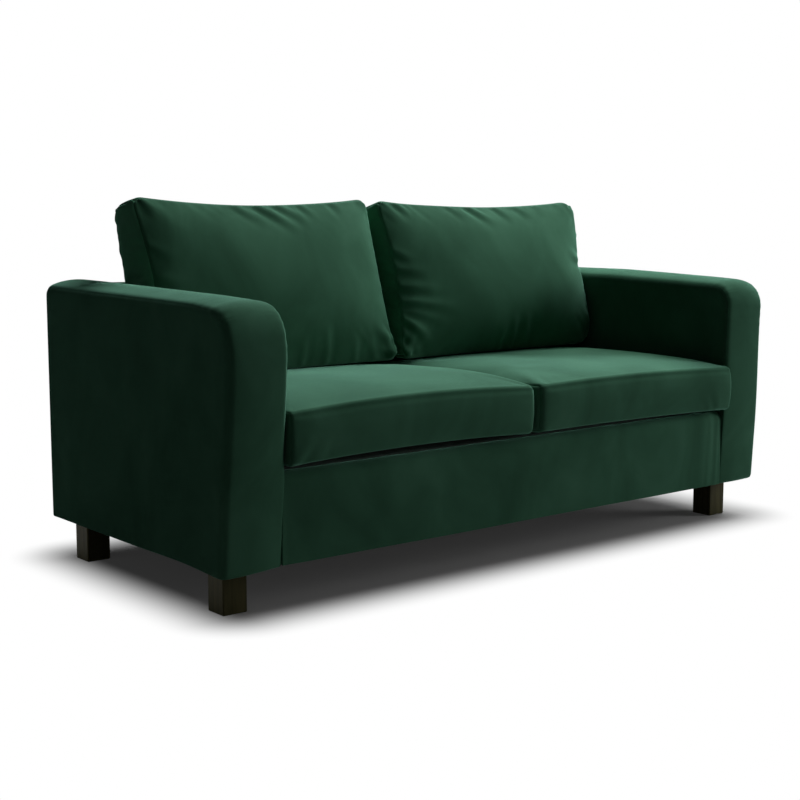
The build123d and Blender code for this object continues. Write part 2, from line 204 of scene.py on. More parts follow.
# How far the middle of the left and right end is drawn in
BACK_DRAW = {"left": (0.012, 0.012), "right": (0.012, 0.002)}
BACK_RADIUS = 0.014
BACK_CORNERS = {"left": (0.030, 0.030), "right": (0.030, 0.046)}
BACK_OVERHANG = {"left": 0.004, "right": 0.032}
BACK_END_FORWARD = {"left": 0.016, "right": 0.024}
BACK_REAR_PULL = {"left": 0.034, "right": 0.010}
# How far the end is drawn in beside the top of the arm, and where that is, in shares of the cushion's height
BACK_WAIST = {"left": 0.0, "right": 0.008}
BACK_WAIST_PLACE = 0.52
BACK_WAIST_REACH = 0.05
# How far the foot of the front panel is tucked under, and how far the lower inner corner stands out
BACK_TUCK = 0.018
BACK_CORNER_OUT = {"left": 0.009, "right": 0.0}
BACK_INNER_DRAW = {"left": -0.003, "right": 0.018}
# Drop of the top edge at its inner end, and how much more it drops at its outer end
BACK_TOP_DROP = {"left": (0.0, 0.0), "right": (0.004, 0.010)}
BACK_SIDE_PUFF = 0.017
BACK_WAVE = 0.003
# Share of the swell with which the simulation starts, and the furthest that it moves a point
BACK_START_SWELL = 0.85
BACK_CAP = 0.026
# Gap under the foot, and how far the cloth may pass the ends, more at the outer end above the arm, and more
# at the inner end of the left cushion
BACK_LEAST_GAP = 0.0003
BACK_END_ROOM = 0.001
BACK_OUTER_ROOM = 0.004
BACK_INNER_ROOM = 0.004

# Main folds of each back cushion's front panel: start, end and strength, in shares of its width and height
BACK_FOLDS = {
    "left": (
        ((0.39, 0.99), (0.51, 0.86), 0.7),
        ((0.49, 0.99), (0.64, 0.80), 1.0),
        ((0.58, 0.99), (0.70, 0.85), 0.8),
        ((0.68, 0.99), (0.74, 0.90), 0.6),
        ((0.83, 0.99), (0.88, 0.91), 0.6),
        ((0.03, 0.98), (0.08, 0.90), 1.0),
        ((0.57, 0.04), (0.56, 0.20), 0.6),
        ((0.68, 0.03), (0.66, 0.27), 0.7),
        ((0.81, 0.03), (0.80, 0.17), 0.7),
        ((0.90, 0.03), (0.87, 0.16), 0.8),
        ((0.99, 0.12), (0.90, 0.20), 0.9),
        ((0.01, 0.72), (0.09, 0.66), 0.5),
        ((0.01, 0.55), (0.10, 0.50), 0.5),
    ),
    "right": (
        ((0.47, 0.99), (0.58, 0.84), 1.2),
        ((0.61, 0.99), (0.68, 0.86), 0.8),
        ((0.37, 0.99), (0.44, 0.88), 0.6),
        ((0.71, 0.99), (0.77, 0.88), 0.7),
        ((0.09, 0.98), (0.16, 0.92), 0.8),
        ((0.01, 0.66), (0.10, 0.60), 0.7),
        ((0.01, 0.55), (0.15, 0.52), 0.8),
        ((0.01, 0.44), (0.20, 0.40), 0.9),
        ((0.01, 0.35), (0.27, 0.28), 1.2),
        ((0.01, 0.30), (0.20, 0.22), 1.0),
        ((0.01, 0.25), (0.16, 0.05), 1.6),
        ((0.01, 0.17), (0.09, 0.03), 1.3),
        ((0.50, 0.03), (0.51, 0.18), 0.8),
        ((0.56, 0.04), (0.56, 0.24), 0.9),
        ((0.63, 0.04), (0.62, 0.23), 0.8),
        ((0.99, 0.56), (0.91, 0.62), 0.8),
        ((0.99, 0.50), (0.93, 0.47), 0.6),
    ),
}
FOLD_HEIGHT = 0.0042
FOLD_WIDTH = 0.0085
# Gathered lower inner corner of a back cushion: place, and the height and width of its knot, ring and rays
KNOT_PLACE = (0.016, 0.020)
KNOT_HEIGHT = 0.006
KNOT_WIDTH = 0.016
KNOT_RING = (0.026, 0.004, 0.009)
KNOT_RAYS = (0.034, 0.0020, 0.016)
KNOT_RAY_COUNT = 7

# Zips
ZIP_LENGTH = 0.520
ZIP_HEIGHT = 0.014
ZIP_MARGIN = 0.010
ZIP_SINK = 0.0016

# Cloth simulation of the loose cushions, whose points this near a seam are held
CLOTH_HELD = 0.004
CLOTH_PRESSURE = 4.0
CLOTH_MASS = 0.3
CLOTH_STRETCH = 15
CLOTH_SHEAR = 5
CLOTH_BENDING = 0.5
CLOTH_QUALITY = 5
CLOTH_FRAMES = 20

# Grids of the soft pieces
EDGE_STEPS = (0.0015, 0.003, 0.004, 0.005, 0.007)
FINE_STEP = 0.009
ARM_STEP = 0.010
BACKREST_STEPS = (0.020, 0.009, 0.012)
DECK_STEP = 0.022
RAIL_DEPTH_POINTS = 7
DECK_DEPTH_POINTS = 4

SMALL = 1e-9
SIDES = (("left", -1), ("right", 1))


def spread(length, step):
    """Places along a side: close together near both ends, even between."""
    near = np.cumsum(EDGE_STEPS)
    count = max(2, round((length - 2 * near[-1]) / step))
    middle = np.linspace(near[-1], length - near[-1], count + 1)
    return np.concatenate(([0], near[:-1], middle, length - near[-2::-1], [length]))


def box_lattice(xs, ys, zs):
    """Grid points and quads on all six faces of a box."""
    steps = (xs, ys, zs)
    index = {}
    points = []
    quads = []

    def at(key):
        if key not in index:
            index[key] = len(points)
            points.append([steps[axis][key[axis]] for axis in range(3)])
        return index[key]

    for axis in range(3):
        u = (axis + 1) % 3
        v = (axis + 2) % 3
        for end in (0, len(steps[axis]) - 1):
            for i in range(len(steps[u]) - 1):
                for j in range(len(steps[v]) - 1):
                    quad = []
                    for di, dj in ((0, 0), (1, 0), (1, 1), (0, 1)):
                        key = [0, 0, 0]
                        key[axis] = end
                        key[u] = i + di
                        key[v] = j + dj
                        quad.append(at(tuple(key)))
                    quads.append(quad if end else quad[::-1])
    return np.array(points), quads


def rounded(points, size, radius):
    """A box's surface points moved onto the box with rounded edges."""
    inner = np.clip(points, radius, np.array(size) - radius)
    out = points - inner
    reach = np.linalg.norm(out, axis=1, keepdims=True)
    return inner + out * radius / np.maximum(reach, SMALL)


def to_edge(value, length):
    """Distance to the nearer end of a length."""
    return np.minimum(value, length - value)


def bell(value, length):
    """Shallow arch over a length: 0 at both ends and 1 in the middle."""
    return 1 - (2 * value / length - 1) ** 2


def hump(value):
    """Smooth hump: 1 at 0, and almost gone beyond 2 on either side."""
    return np.exp(-(value**2))


def ridge(across, trough=0.7, beside=1.7):
    """Cross-section of a fold: a ridge with a trough beside it."""
    return hump(across) - trough * hump(across - beside)


def smooth_step(value, low, high):
    """0 below low, 1 above high and smooth between."""
    t = np.clip((value - low) / (high - low), 0, 1)
    return t * t * (3 - 2 * t)


def lumps(points, scale, seed):
    """Soft random height at each point, from about -1 to 1."""
    shift = Vector((seed * 7.3, seed * 3.1, seed * 5.7))
    return np.array([noise.noise(Vector(p) * scale + shift) for p in points])


def make_mesh(name, points, quads):
    """Smooth-shaded mesh object of the given points and faces."""
    mesh = bpy.data.meshes.new(name)
    mesh.from_pydata([tuple(p) for p in points], [], [tuple(q) for q in quads])
    mesh.update()
    mesh.polygons.foreach_set("use_smooth", [True] * len(mesh.polygons))
    obj = bpy.data.objects.new(name, mesh)
    bpy.context.scene.collection.objects.link(obj)
    return obj


def normals_of(points, quads):
    """Unit normal at each point, from the faces round it."""
    q = np.array(quads)
    across = np.cross(points[q[:, 2]] - points[q[:, 0]], points[q[:, 3]] - points[q[:, 1]])
    total = np.zeros_like(points)
    for corner in range(4):
        np.add.at(total, q[:, corner], across)
    return total / np.maximum(np.linalg.norm(total, axis=1, keepdims=True), 1e-12)


def groove(distance, depth, width):
    """Height of sewn cloth beside a seam: sunk on the seam, with a soft roll on each side."""
    sunk = hump(distance / width)
    roll = hump((distance - 2.6 * width) / (1.4 * width))
    return depth * (0.35 * roll - sunk)


def folds(along, away, length, seed, count, slant, reach, height):
    """Height of short folds that start at a seam and fade out into the panel, leaning by a slant."""
    draw = np.random.default_rng(seed)
    total = np.zeros_like(along)
    for place in (np.arange(count) + 0.5) / count:
        start = length * (place + draw.uniform(-0.4, 0.4) / count)
        far = reach * draw.uniform(0.35, 1.0)
        lean = slant * draw.uniform(0.5, 1.5) + draw.uniform(-0.12, 0.12)
        width = draw.uniform(0.0055, 0.0095)
        tall = height * draw.uniform(0.4, 1.0) * (1 if draw.uniform() < 0.75 else -0.8)
        across = (along - start - lean * away) / (width * (1 + away / far))
        total += tall * ridge(across) * hump(away / far)
    return total


def round_corners(a, b, size_a, size_b, radius):
    """A rectangle's points moved so that its four corners are round."""
    inner_a = np.clip(a, radius, size_a - radius)
    inner_b = np.clip(b, radius, size_b - radius)
    out_a = a - inner_a
    out_b = b - inner_b
    squeeze = np.maximum(np.abs(out_a), np.abs(out_b)) / np.maximum(np.hypot(out_a, out_b), SMALL)
    corner = (out_a != 0) & (out_b != 0)
    return np.where(corner, inner_a + out_a * squeeze, a), np.where(corner, inner_b + out_b * squeeze, b)


def round_ends(a, b, size_a, size_b, radii):
    """The same with one radius for both corners at the start of a and another for those at its end."""
    first, last = (round_corners(a, b, size_a, size_b, radius) for radius in radii)
    near = a < size_a / 2
    return np.where(near, first[0], last[0]), np.where(near, first[1], last[1])


def crease(x, y, start, end):
    """Shape of one soft fold that starts at a seam, widens and fades out at its end."""
    run = np.subtract(end, start)
    length = np.linalg.norm(run)
    ahead = ((x - start[0]) * run[0] + (y - start[1]) * run[1]) / length
    aside = ((x - start[0]) * run[1] - (y - start[1]) * run[0]) / length
    share = ahead / length
    width = FOLD_WIDTH * (1 + 0.9 * np.clip(share, 0, 1))
    fade = np.where(ahead < 0, hump(ahead / FOLD_WIDTH), 1 - smooth_step(share, 0.25, 1.1))
    return ridge(aside / width) * fade


def inflate(name, points, quads, seam, cap):
    """Cloth simulation: the panels swell under pressure, and the seams hold.

    No point moves further than the cap.
    """
    obj = make_mesh(name, points, quads)
    group = obj.vertex_groups.new(name="seams")
    group.add([int(i) for i in np.flatnonzero(seam < CLOTH_HELD)], 1.0, "REPLACE")
    cloth = obj.modifiers.new("Cloth", "CLOTH")
    settings = cloth.settings
    settings.quality = CLOTH_QUALITY
    settings.mass = CLOTH_MASS
    settings.use_pressure = True
    settings.uniform_pressure_force = CLOTH_PRESSURE
    settings.effector_weights.gravity = 0
    settings.vertex_group_mass = "seams"
    settings.tension_stiffness = CLOTH_STRETCH
    settings.compression_stiffness = CLOTH_STRETCH
    settings.shear_stiffness = CLOTH_SHEAR
    settings.bending_stiffness = CLOTH_BENDING
    cloth.point_cache.frame_start = 1
    cloth.point_cache.frame_end = CLOTH_FRAMES
    scene = bpy.context.scene
    for step in range(1, CLOTH_FRAMES + 1):
        scene.frame_set(step)
    shaped = obj.evaluated_get(bpy.context.evaluated_depsgraph_get())
    moved = np.zeros(len(points) * 3)
    shaped.data.vertices.foreach_get("co", moved)
    moved = moved.reshape(-1, 3) - points
    scene.frame_set(1)
    mesh = obj.data
    bpy.data.objects.remove(obj)
    bpy.data.meshes.remove(mesh)
    reach = np.linalg.norm(moved, axis=1, keepdims=True)
    return points + moved * np.minimum(1, cap / np.maximum(reach, SMALL))


def subdivide(obj):
    """One smooth subdivision."""
    modifier = obj.modifiers.new("Subdivision", "SUBSURF")
    modifier.levels = 1
    modifier.render_levels = 1


def dress(obj, body, material, slot, *nodes):
    """Put a finished piece on its body, in its material, for the nodes that it stands for."""
    obj.data.materials.append(material)
    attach(obj, body)
    if nodes:
        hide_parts(*nodes)


def second_cloth(obj, quads, marked, material):
    """Give a piece's faces whose points are all marked a second material."""
    obj.data.materials.append(material)
    faces = [int(all(marked[i] for i in quad)) for quad in quads]
    obj.data.polygons.foreach_set("material_index", faces)


# Materials


def new_material(name):
    """Empty node material, with its Principled shader and the object's own coordinates."""
    material = bpy.data.materials.new(name)
    material.use_nodes = True
    tree = material.node_tree
    coords = tree.nodes.new("ShaderNodeTexCoord").outputs["Object"]
    return material, tree, tree.nodes["Principled BSDF"], coords


def noise_node(tree, coords, scale, detail, distortion=0.0, stretch=(1, 1, 1)):
    """Noise over coordinates. Returns its factor."""
    mapping = tree.nodes.new("ShaderNodeMapping")
    mapping.inputs["Scale"].default_value = stretch
    tree.links.new(coords, mapping.inputs["Vector"])
    node = tree.nodes.new("ShaderNodeTexNoise")
    node.inputs["Scale"].default_value = scale
    node.inputs["Detail"].default_value = detail
    node.inputs["Distortion"].default_value = distortion
    tree.links.new(mapping.outputs["Vector"], node.inputs["Vector"])
    return node.outputs["Fac"]


def colour_by(tree, source, stops, shader):
    """Colour a shader by a factor, from (place, colour) stops."""
    ramp = tree.nodes.new("ShaderNodeValToRGB")
    elements = ramp.color_ramp.elements
    while len(elements) < len(stops):
        elements.new(0.5)
    for element, (place, colour) in zip(elements, stops):
        element.position = place
        element.color = (*colour, 1)
    tree.links.new(source, ramp.inputs["Fac"])
    tree.links.new(ramp.outputs["Color"], shader.inputs["Base Color"])


def bump_node(tree, source, strength, distance, under=None):
    """Bump from a height, on top of another bump if one is given. Returns its normal."""
    bump = tree.nodes.new("ShaderNodeBump")
    bump.inputs["Strength"].default_value = strength
    bump.inputs["Distance"].default_value = distance
    tree.links.new(source, bump.inputs["Height"])
    if under:
        tree.links.new(under, bump.inputs["Normal"])
    return bump.outputs["Normal"]


def velvet(name, tone):
    """Short-pile green velvet: brushed nap in patches, fine pile and a soft sheen.

    The tone scales its colours and sheen: above 1 it paints light and below 1 it paints shade on a copy of
    the velvet.
    """
    material, tree, shader, coords = new_material(name)
    nap = noise_node(tree, coords, scale=5.5, detail=5, distortion=0.6, stretch=(1, 1, 0.7))
    toned = [(place, tuple(tone * c for c in colour)) for place, colour in VELVET_COLOURS]
    colour_by(tree, nap, toned, shader)
    pile = noise_node(tree, coords, scale=1400, detail=2)
    brush = noise_node(tree, coords, scale=60, detail=4, distortion=0.4)
    low = bump_node(tree, brush, strength=0.12, distance=0.002)
    high = bump_node(tree, pile, strength=0.25, distance=0.0006, under=low)
    tree.links.new(high, shader.inputs["Normal"])
    shader.inputs["Roughness"].default_value = 0.85
    shader.inputs["Specular IOR Level"].default_value = 0.02
    shader.inputs["Sheen Weight"].default_value = min(1, 0.85 * tone)
    shader.inputs["Sheen Roughness"].default_value = 0.33
    shader.inputs["Sheen Tint"].default_value = (0.44, 1.0, 0.76, 1)
    return material


def wood(name, dark, light, roughness, scale):
    """Wood with its grain along Z."""
    material, tree, shader, coords = new_material(name)
    grain = noise_node(tree, coords, scale=scale, detail=6, distortion=0.5, stretch=(1, 1, 0.06))
    colour_by(tree, grain, ((0.35, dark), (0.68, light)), shader)
    bump = bump_node(tree, grain, strength=0.25, distance=0.0008)
    tree.links.new(bump, shader.inputs["Normal"])
    shader.inputs["Roughness"].default_value = roughness
    shader.inputs["Specular IOR Level"].default_value = 0.06
    return material


def cloth_material(name, dark, light, threads):
    """Plain woven or felted cloth: two sets of fine threads and a mottled tone."""
    material, tree, shader, coords = new_material(name)
    tone = noise_node(tree, coords, scale=40, detail=4)
    colour_by(tree, tone, ((0.3, dark), (0.7, light)), shader)
    bump = None
    for direction in ("X", "Y"):
        wave = tree.nodes.new("ShaderNodeTexWave")
        wave.bands_direction = direction
        wave.inputs["Scale"].default_value = threads
        wave.inputs["Distortion"].default_value = 0.6
        tree.links.new(coords, wave.inputs["Vector"])
        bump = bump_node(tree, wave.outputs["Fac"], strength=0.3, distance=0.0004, under=bump)
    tree.links.new(bump, shader.inputs["Normal"])
    shader.inputs["Roughness"].default_value = 0.9
    return material


def metal(name, colour, roughness):
    """Metal with fine scratches in its finish."""
    material, tree, shader, coords = new_material(name)
    wear = noise_node(tree, coords, scale=300, detail=3)
    darker = tuple(0.7 * c for c in colour)
    colour_by(tree, wear, ((0.3, darker), (0.7, colour)), shader)
    bump = bump_node(tree, wear, strength=0.1, distance=0.0002)
    tree.links.new(bump, shader.inputs["Normal"])
    shader.inputs["Metallic"].default_value = 1
    shader.inputs["Roughness"].default_value = roughness
    return material


VELVET = velvet("velvet", 1.0)
# Copies of the velvet painted lighter for the boxing of the back cushions, as painted light
VELVET_BOXING_LIT = {side: velvet(f"velvet_boxing_painted_light_{side}", tone) for side, tone in VELVET_BOXING_PAINTED_LIGHT.items()}
# Copy of the velvet painted darker for the inner panels of the arms, as painted shade
VELVET_INNER_SHADED = velvet("velvet_inner_painted_shade", VELVET_INNER_PAINTED_SHADE)
MATERIALS = {
    "leg_wood": wood("leg_wood", (0.034, 0.032, 0.0125), (0.074, 0.068, 0.0285), 0.5, 60),
    "frame_wood": wood("frame_wood", (0.42, 0.28, 0.15), (0.66, 0.49, 0.30), 0.75, 45),
    "panel_board": wood("panel_board", (0.20, 0.12, 0.065), (0.36, 0.23, 0.13), 0.8, 90),
    "foam": cloth_material("foam", (0.70, 0.62, 0.42), (0.84, 0.78, 0.60), 500),
    "fibre": cloth_material("fibre", (0.75, 0.75, 0.72), (0.88, 0.88, 0.86), 350),
    "webbing": cloth_material("webbing", (0.03, 0.03, 0.028), (0.10, 0.09, 0.08), 700),
    "dust_cloth": cloth_material("dust_cloth", (0.012, 0.012, 0.012), (0.028, 0.028, 0.028), 600),
    "deck_cloth": cloth_material("deck_cloth", (0.014, 0.030, 0.022), (0.028, 0.052, 0.040), 450),
    "steel": metal("steel", (0.55, 0.55, 0.56), 0.35),
    "zip_tape": cloth_material("zip_tape", (0.010, 0.026, 0.018), (0.022, 0.046, 0.034), 800),
    "zip_metal": metal("zip_metal", (0.05, 0.075, 0.06), 0.35),
    "velvet": VELVET,
}
SLOT_OF = {row["node"]: row["material_slot"] for row in frame["record"]["subparts"]}
for node_name, node in frame["nodes"].items():
    node.data.materials.clear()
    node.data.materials.append(MATERIALS[SLOT_OF[node_name]])


# Padded boxes whose front, top and back are one strip: arms, backrest and front rail


def strip_box(points, size, seam, front_radius, back_radius, foot):
    """Box with a strip over its front, top and back, and lower edges rounded by the foot radius.

    Returns its points, the strip's outward normal in Y and Z, and the distance of each point to a seam.
    """
    width, depth, height = size
    x, y, z = points.T
    below_top = height - z
    strip = np.minimum(to_edge(y, depth), below_top)
    side = to_edge(x, width)

    past_side = np.maximum(seam - side, 0)
    past_strip = np.maximum(seam - strip, 0)
    turn = seam / np.maximum(np.hypot(past_side, past_strip), seam)
    edge = (past_side > 0) & (past_strip > 0)
    side_new = np.where(edge, seam - past_side * turn, side)
    sink = np.where(edge, seam - past_strip * turn, strip) - strip
    new_x = np.where(x < width / 2, side_new, width - side_new)

    top = below_top <= to_edge(y, depth)
    front = ~top & (y < depth / 2)
    back = ~top & ~front
    new_y = y + np.where(front, sink, 0) - np.where(back, sink, 0)
    new_z = z - np.where(top, sink, 0)
    normal_y = np.where(front, -1.0, np.where(back, 1.0, 0.0))
    normal_z = np.where(top, 1.0, 0.0)
    for radius, sign in ((front_radius, -1), (back_radius, 1)):
        from_end = y if sign < 0 else depth - y
        corner = (from_end < radius) & (below_top < radius)
        out_y = radius - from_end
        out_z = radius - below_top
        reach = np.maximum(np.hypot(out_y, out_z), SMALL)
        out = np.maximum(out_y, out_z) - sink
        turned = sign * (out * out_y / reach - radius)
        new_y = np.where(corner, turned + (0 if sign < 0 else depth), new_y)
        new_z = np.where(corner, height - radius + out * out_z / reach, new_z)
        normal_y = np.where(corner, sign * out_y / reach, normal_y)
        normal_z = np.where(corner, out_z / reach, normal_z)
    under_x, under_y = round_corners(x, y, width, depth, seam)
    new_x = np.where(z == 0, under_x, new_x)
    new_y = np.where(z == 0, under_y, new_y)
    foot_x, foot_z = round_corners(x, z, width, 2 * height, foot)
    foot_y, foot_z = round_corners(y, foot_z, depth, 2 * height, foot)
    shaped = np.column_stack((new_x + foot_x - x, new_y + foot_y - y, new_z + foot_z - z))
    return shaped, normal_y, normal_z, strip + side


def make_arm(name, sign):
    """Padded arm: two side panels, sewn to one strip that runs up the front and back over the crowned top."""
    lo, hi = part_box(f"{name}_arm_cover")
    size = (hi.x - lo.x, hi.y - lo.y, hi.z - lo.z - ARM_CROWN)
    width, depth, height = size
    flat, quads = box_lattice(spread(width, FINE_STEP), spread(depth, ARM_STEP), spread(height, ARM_STEP))
    across, back, rise = flat.T
    radii = (ARM_FRONT_RADIUS, ARM_BACK_RADIUS, ARM_FOOT_RADIUS[name])
    points, normal_y, normal_z, seam = strip_box(flat, size, ARM_SEAM_RADIUS, *radii)
    tight = strip_box(flat, size, ARM_BUTT_RADIUS, *radii)[0]
    rail_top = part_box("front_rail_cover")[1].z - lo.z
    low = 1 - smooth_step(rise, rail_top - 0.02, rail_top + 0.05)
    rear = smooth_step(back, depth - 0.16, depth - 0.09)
    butt = (across > width / 2) * np.maximum(low, rear)
    points += (tight - points) * butt[:, None]

    bulge = ARM_BULGE * np.where(normal_y < 0, normal_y**2, ARM_REAR_BULGE_SHARE * normal_y**2)
    puff = bell(points[:, 0], width) * (ARM_CROWN * normal_z**2 + bulge)
    points[:, 1] += puff * normal_y
    points[:, 2] += puff * normal_z
    points[:, 1] += ARM_SET_BACK * (1 - np.clip(points[:, 2] / height, 0, 1)) * (1 - points[:, 1] / depth)

    share = points[:, 2] / height
    amount, begins, full, fades = ARM_FRONT_SHAPE[name]
    front_puff = smooth_step(share, begins, full) * (1 - smooth_step(share, fades, fades + ARM_FRONT_FADE))
    points[:, 1] -= amount * front_puff * (1 - smooth_step(points[:, 1], 0.0, ARM_FRONT_DEPTH))

    drop, reach = ARM_FRONT_DROP[name]
    brow = ARM_BROW[name] * (1 - across / width) * (1 - smooth_step(points[:, 1], 0.02, 0.16))
    slope = drop * np.clip(1 - points[:, 1] / reach, 0, 1) + brow
    points[:, 2] += (ARM_LIFT[name] - slope) * smooth_step(share, 0.4, 1.0)

    toe_back, toe_across = ARM_TOE_REACH
    toe = ARM_TOE[name] * np.exp(-((back / toe_back) ** 2) - (across / toe_across) ** 2)
    edge = np.minimum(to_edge(back, depth), across)
    hem = (ARM_HEM + toe) * (1 - smooth_step(edge, 0.010, 0.035))
    points[:, 2] -= hem * (1 - smooth_step(rise, 0.0, ARM_HEM_HEIGHT))

    outer_panel = (across == 0).astype(float)
    swell = bell(back, depth) * np.sqrt(np.clip(bell(rise, height), 0, 1))
    points[:, 0] -= outer_panel * ARM_SIDE_PUFF * swell

    if sign < 0:
        points[:, 0] = lo.x + points[:, 0]
    else:
        points[:, 0] = hi.x - points[:, 0]
        quads = [q[::-1] for q in quads]
    points[:, 1] += lo.y
    points[:, 2] += lo.z

    normals = normals_of(points, quads)
    bend = hump((back + (height - rise) - ARM_FRONT_RADIUS) / ARM_PUCKER_BEND)
    phase = (back - rise) * 2 * math.pi / ARM_PUCKER_STEP + 2 * lumps(flat, scale=12, seed=3)
    pucker = np.sin(phase) * np.exp(-seam / ARM_PUCKER_REACH) * bend
    wave = lumps(points, scale=4.0, seed=1 + sign) * smooth_step(seam, 0.005, 0.05)
    inner_panel = across == width
    wave = np.where(inner_panel, np.minimum(wave, 0), wave)
    relief = groove(seam, depth=0.0004, width=0.003) + ARM_PUCKER * pucker + ARM_WAVE * wave
    points += normals * relief[:, None]

    obj = make_mesh(f"{name}_arm_upholstery", points, quads)
    subdivide(obj)
    dress(obj, "frame", VELVET, "velvet", f"{name}_arm_cover", f"{name}_arm_foam")
    # Painted shade: the inner panel gets a darker copy of the velvet
    second_cloth(obj, quads, inner_panel, VELVET_INNER_SHADED)


for side_name, side_sign in SIDES:
    make_arm(side_name, side_sign)


def make_front_rail():
    """Padded front rail between the arms, with its cover turned over the top edge and pleated at the ends."""
    lo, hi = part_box("front_rail_cover")
    size = tuple(hi - lo)
    width, depth, height = size
    flat, quads = box_lattice(
        spread(width, FINE_STEP), np.linspace(0, depth, RAIL_DEPTH_POINTS), spread(height, FINE_STEP)
    )
    across, back, rise = flat.T
    points = strip_box(flat, size, RAIL_SEAM_RADIUS, RAIL_TOP_RADIUS, RAIL_BACK_RADIUS, RAIL_SEAM_RADIUS)[0]
    points += np.array(lo)
    normals = normals_of(points, quads)

    face = smooth_step(RAIL_FACE_DEPTH - back, 0, RAIL_FACE_DEPTH)
    ends = smooth_step(to_edge(across, width), 0.0, RAIL_END_LENGTH)
    swell = (RAIL_SWELL * bell(rise, height) * ends - RAIL_END_SINK * (1 - ends)) * face
    points[:, 2] -= RAIL_TOP_DROP * smooth_step(rise, 0.6 * height, height)
    points[:, 2] -= RAIL_HEM * face * (1 - smooth_step(rise, 0.0, RAIL_HEM_HEIGHT))

    wander = RAIL_PLEAT_WANDER * lumps(flat, scale=9, seed=8) + RAIL_PLEAT_SLANT * (rise / height - 0.5)
    pleats = 0
    for place, tall in RAIL_PLEATS:
        beside = (width - across - place + wander) / RAIL_PLEAT_WIDTH
        pleats = pleats + tall * ridge(beside, trough=0.8, beside=1.6)
    crease_place, crease_depth, crease_width = RAIL_CREASE
    pleats = pleats - crease_depth * hump((across - crease_place + wander) / crease_width)
    wave = lumps(points, scale=3.0, seed=5) * ends
    points += normals * (swell + face * (RAIL_WAVE * wave + pleats))[:, None]

    obj = make_mesh("front_rail_upholstery", points, quads)
    subdivide(obj)
    dress(obj, "frame", VELVET, "velvet", "front_rail_cover", "front_rail_pad")


make_front_rail()


def make_backrest():
    """Padded backrest between the arms: leaning front, rounded top and a plain rear panel."""
    lo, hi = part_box("backrest_cover")
    deck_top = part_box("seat_deck_cover")[1].z
    thickness = BACKREST_THICKNESS
    size = (hi.x - lo.x, thickness, hi.z - lo.z)
    width, _, height = size
    flat, quads = box_lattice(*(spread(length, step) for length, step in zip(size, BACKREST_STEPS)))
    radii = (BACKREST_SEAM_RADIUS, BACKREST_FRONT_RADIUS, BACKREST_BACK_RADIUS, BACKREST_SEAM_RADIUS)
    points, normal_y, _, end_seam = strip_box(flat, size, *radii)
    normals = normals_of(points, quads)
    rear = normal_y > 0.5
    off_rear = np.where(flat[:, 1] > thickness - 1e-6, 0, 1)
    top_seam = np.abs(height - BACKREST_SEAM_DROP - flat[:, 2]) + off_rear
    wave = lumps(points, scale=3.2, seed=11) * smooth_step(end_seam, 0.004, 0.04)
    swell = BACKREST_SWELL * bell(flat[:, 2], height) * bell(flat[:, 0], width) * rear
    relief = groove(top_seam, depth=0.0022, width=0.0035) * rear + BACKREST_WAVE * wave + swell
    points += normals * relief[:, None]

    share = np.clip(points[:, 1] / thickness, 0, 1)
    rise = np.clip(points[:, 2] / height, 0, 1)
    bottom = (deck_top + BACKREST_GAP) * (1 - share) + lo.z * share
    above = np.maximum(points[:, 2] - height, 0)
    points[:, 2] = bottom + (hi.z - bottom) * rise + above
    foot = lo.y - (hi.y - thickness)
    drop = (hi.z - points[:, 2]) / (hi.z - deck_top)
    points[:, 1] += hi.y - thickness + foot * np.clip(drop, 0, 1) * (1 - share)
    points[:, 0] += lo.x

    obj = make_mesh("backrest_upholstery", points, quads)
    subdivide(obj)
    dress(obj, "frame", VELVET, "velvet", "backrest_cover", "backrest_foam")


make_backrest()


def make_deck():
    """Lining cloth over the deck pad, drawn down a little along three sewn lines."""
    lo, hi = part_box("seat_deck_cover")
    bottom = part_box("seat_deck_pad")[0].z
    size = (hi.x - lo.x, hi.y - lo.y, hi.z - bottom)
    width, depth, height = size
    flat, quads = box_lattice(
        spread(width, DECK_STEP), spread(depth, DECK_STEP), np.linspace(0, height, DECK_DEPTH_POINTS)
    )
    points = rounded(flat, size, DECK_RADIUS)
    upper = smooth_step(points[:, 2], height * 0.6, height)
    quarter = width / 4
    lines = np.abs((points[:, 0] + quarter / 2) % quarter - quarter / 2)
    dip = groove(lines, depth=0.0015, width=0.004) - DECK_WAVE * (1 + lumps(points, scale=5, seed=2))
    points[:, 2] += np.minimum(dip, -DECK_LEAST_DIP) * upper
    points += np.array((lo.x, lo.y, bottom))
    obj = make_mesh("seat_deck", points, quads)
    subdivide(obj)
    dress(obj, "frame", MATERIALS["deck_cloth"], "deck_cloth", "seat_deck_cover", "seat_deck_pad")


make_deck()


def make_dust_cloth():
    """Thin felted cloth stapled under the body, sagging a little between its edges."""
    lo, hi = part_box("dust_cover")
    count, rows = DUST_POINTS
    xs = np.linspace(lo.x, hi.x, count)
    ys = np.linspace(lo.y, hi.y, rows)
    points = np.array([(x, y, hi.z - DUST_GAP) for y in ys for x in xs])
    quads = [
        (j * count + i, (j + 1) * count + i, (j + 1) * count + i + 1, j * count + i + 1)
        for j in range(rows - 1)
        for i in range(count - 1)
    ]
    middle = bell(points[:, 0] - lo.x, hi.x - lo.x) * bell(points[:, 1] - lo.y, hi.y - lo.y)
    points[:, 2] -= middle * (DUST_SAG + DUST_WAVE * lumps(points, scale=9, seed=4))
    obj = make_mesh("dust_cloth", points, quads)
    thick = obj.modifiers.new("Thickness", "SOLIDIFY")
    thick.thickness = DUST_THICKNESS
    thick.offset = 1
    dress(obj, "frame", MATERIALS["dust_cloth"], "dust_cloth", "dust_cover")


make_dust_cloth()


# Loose cushions


def zip_mask(along, across):
    """1 over a zip and 0 away from it."""
    inside_x = smooth_step(ZIP_LENGTH / 2 + ZIP_MARGIN - np.abs(along), 0, ZIP_MARGIN)
    inside_z = smooth_step(ZIP_HEIGHT / 2 + ZIP_MARGIN - np.abs(across), 0, ZIP_MARGIN)
    return inside_x * inside_z


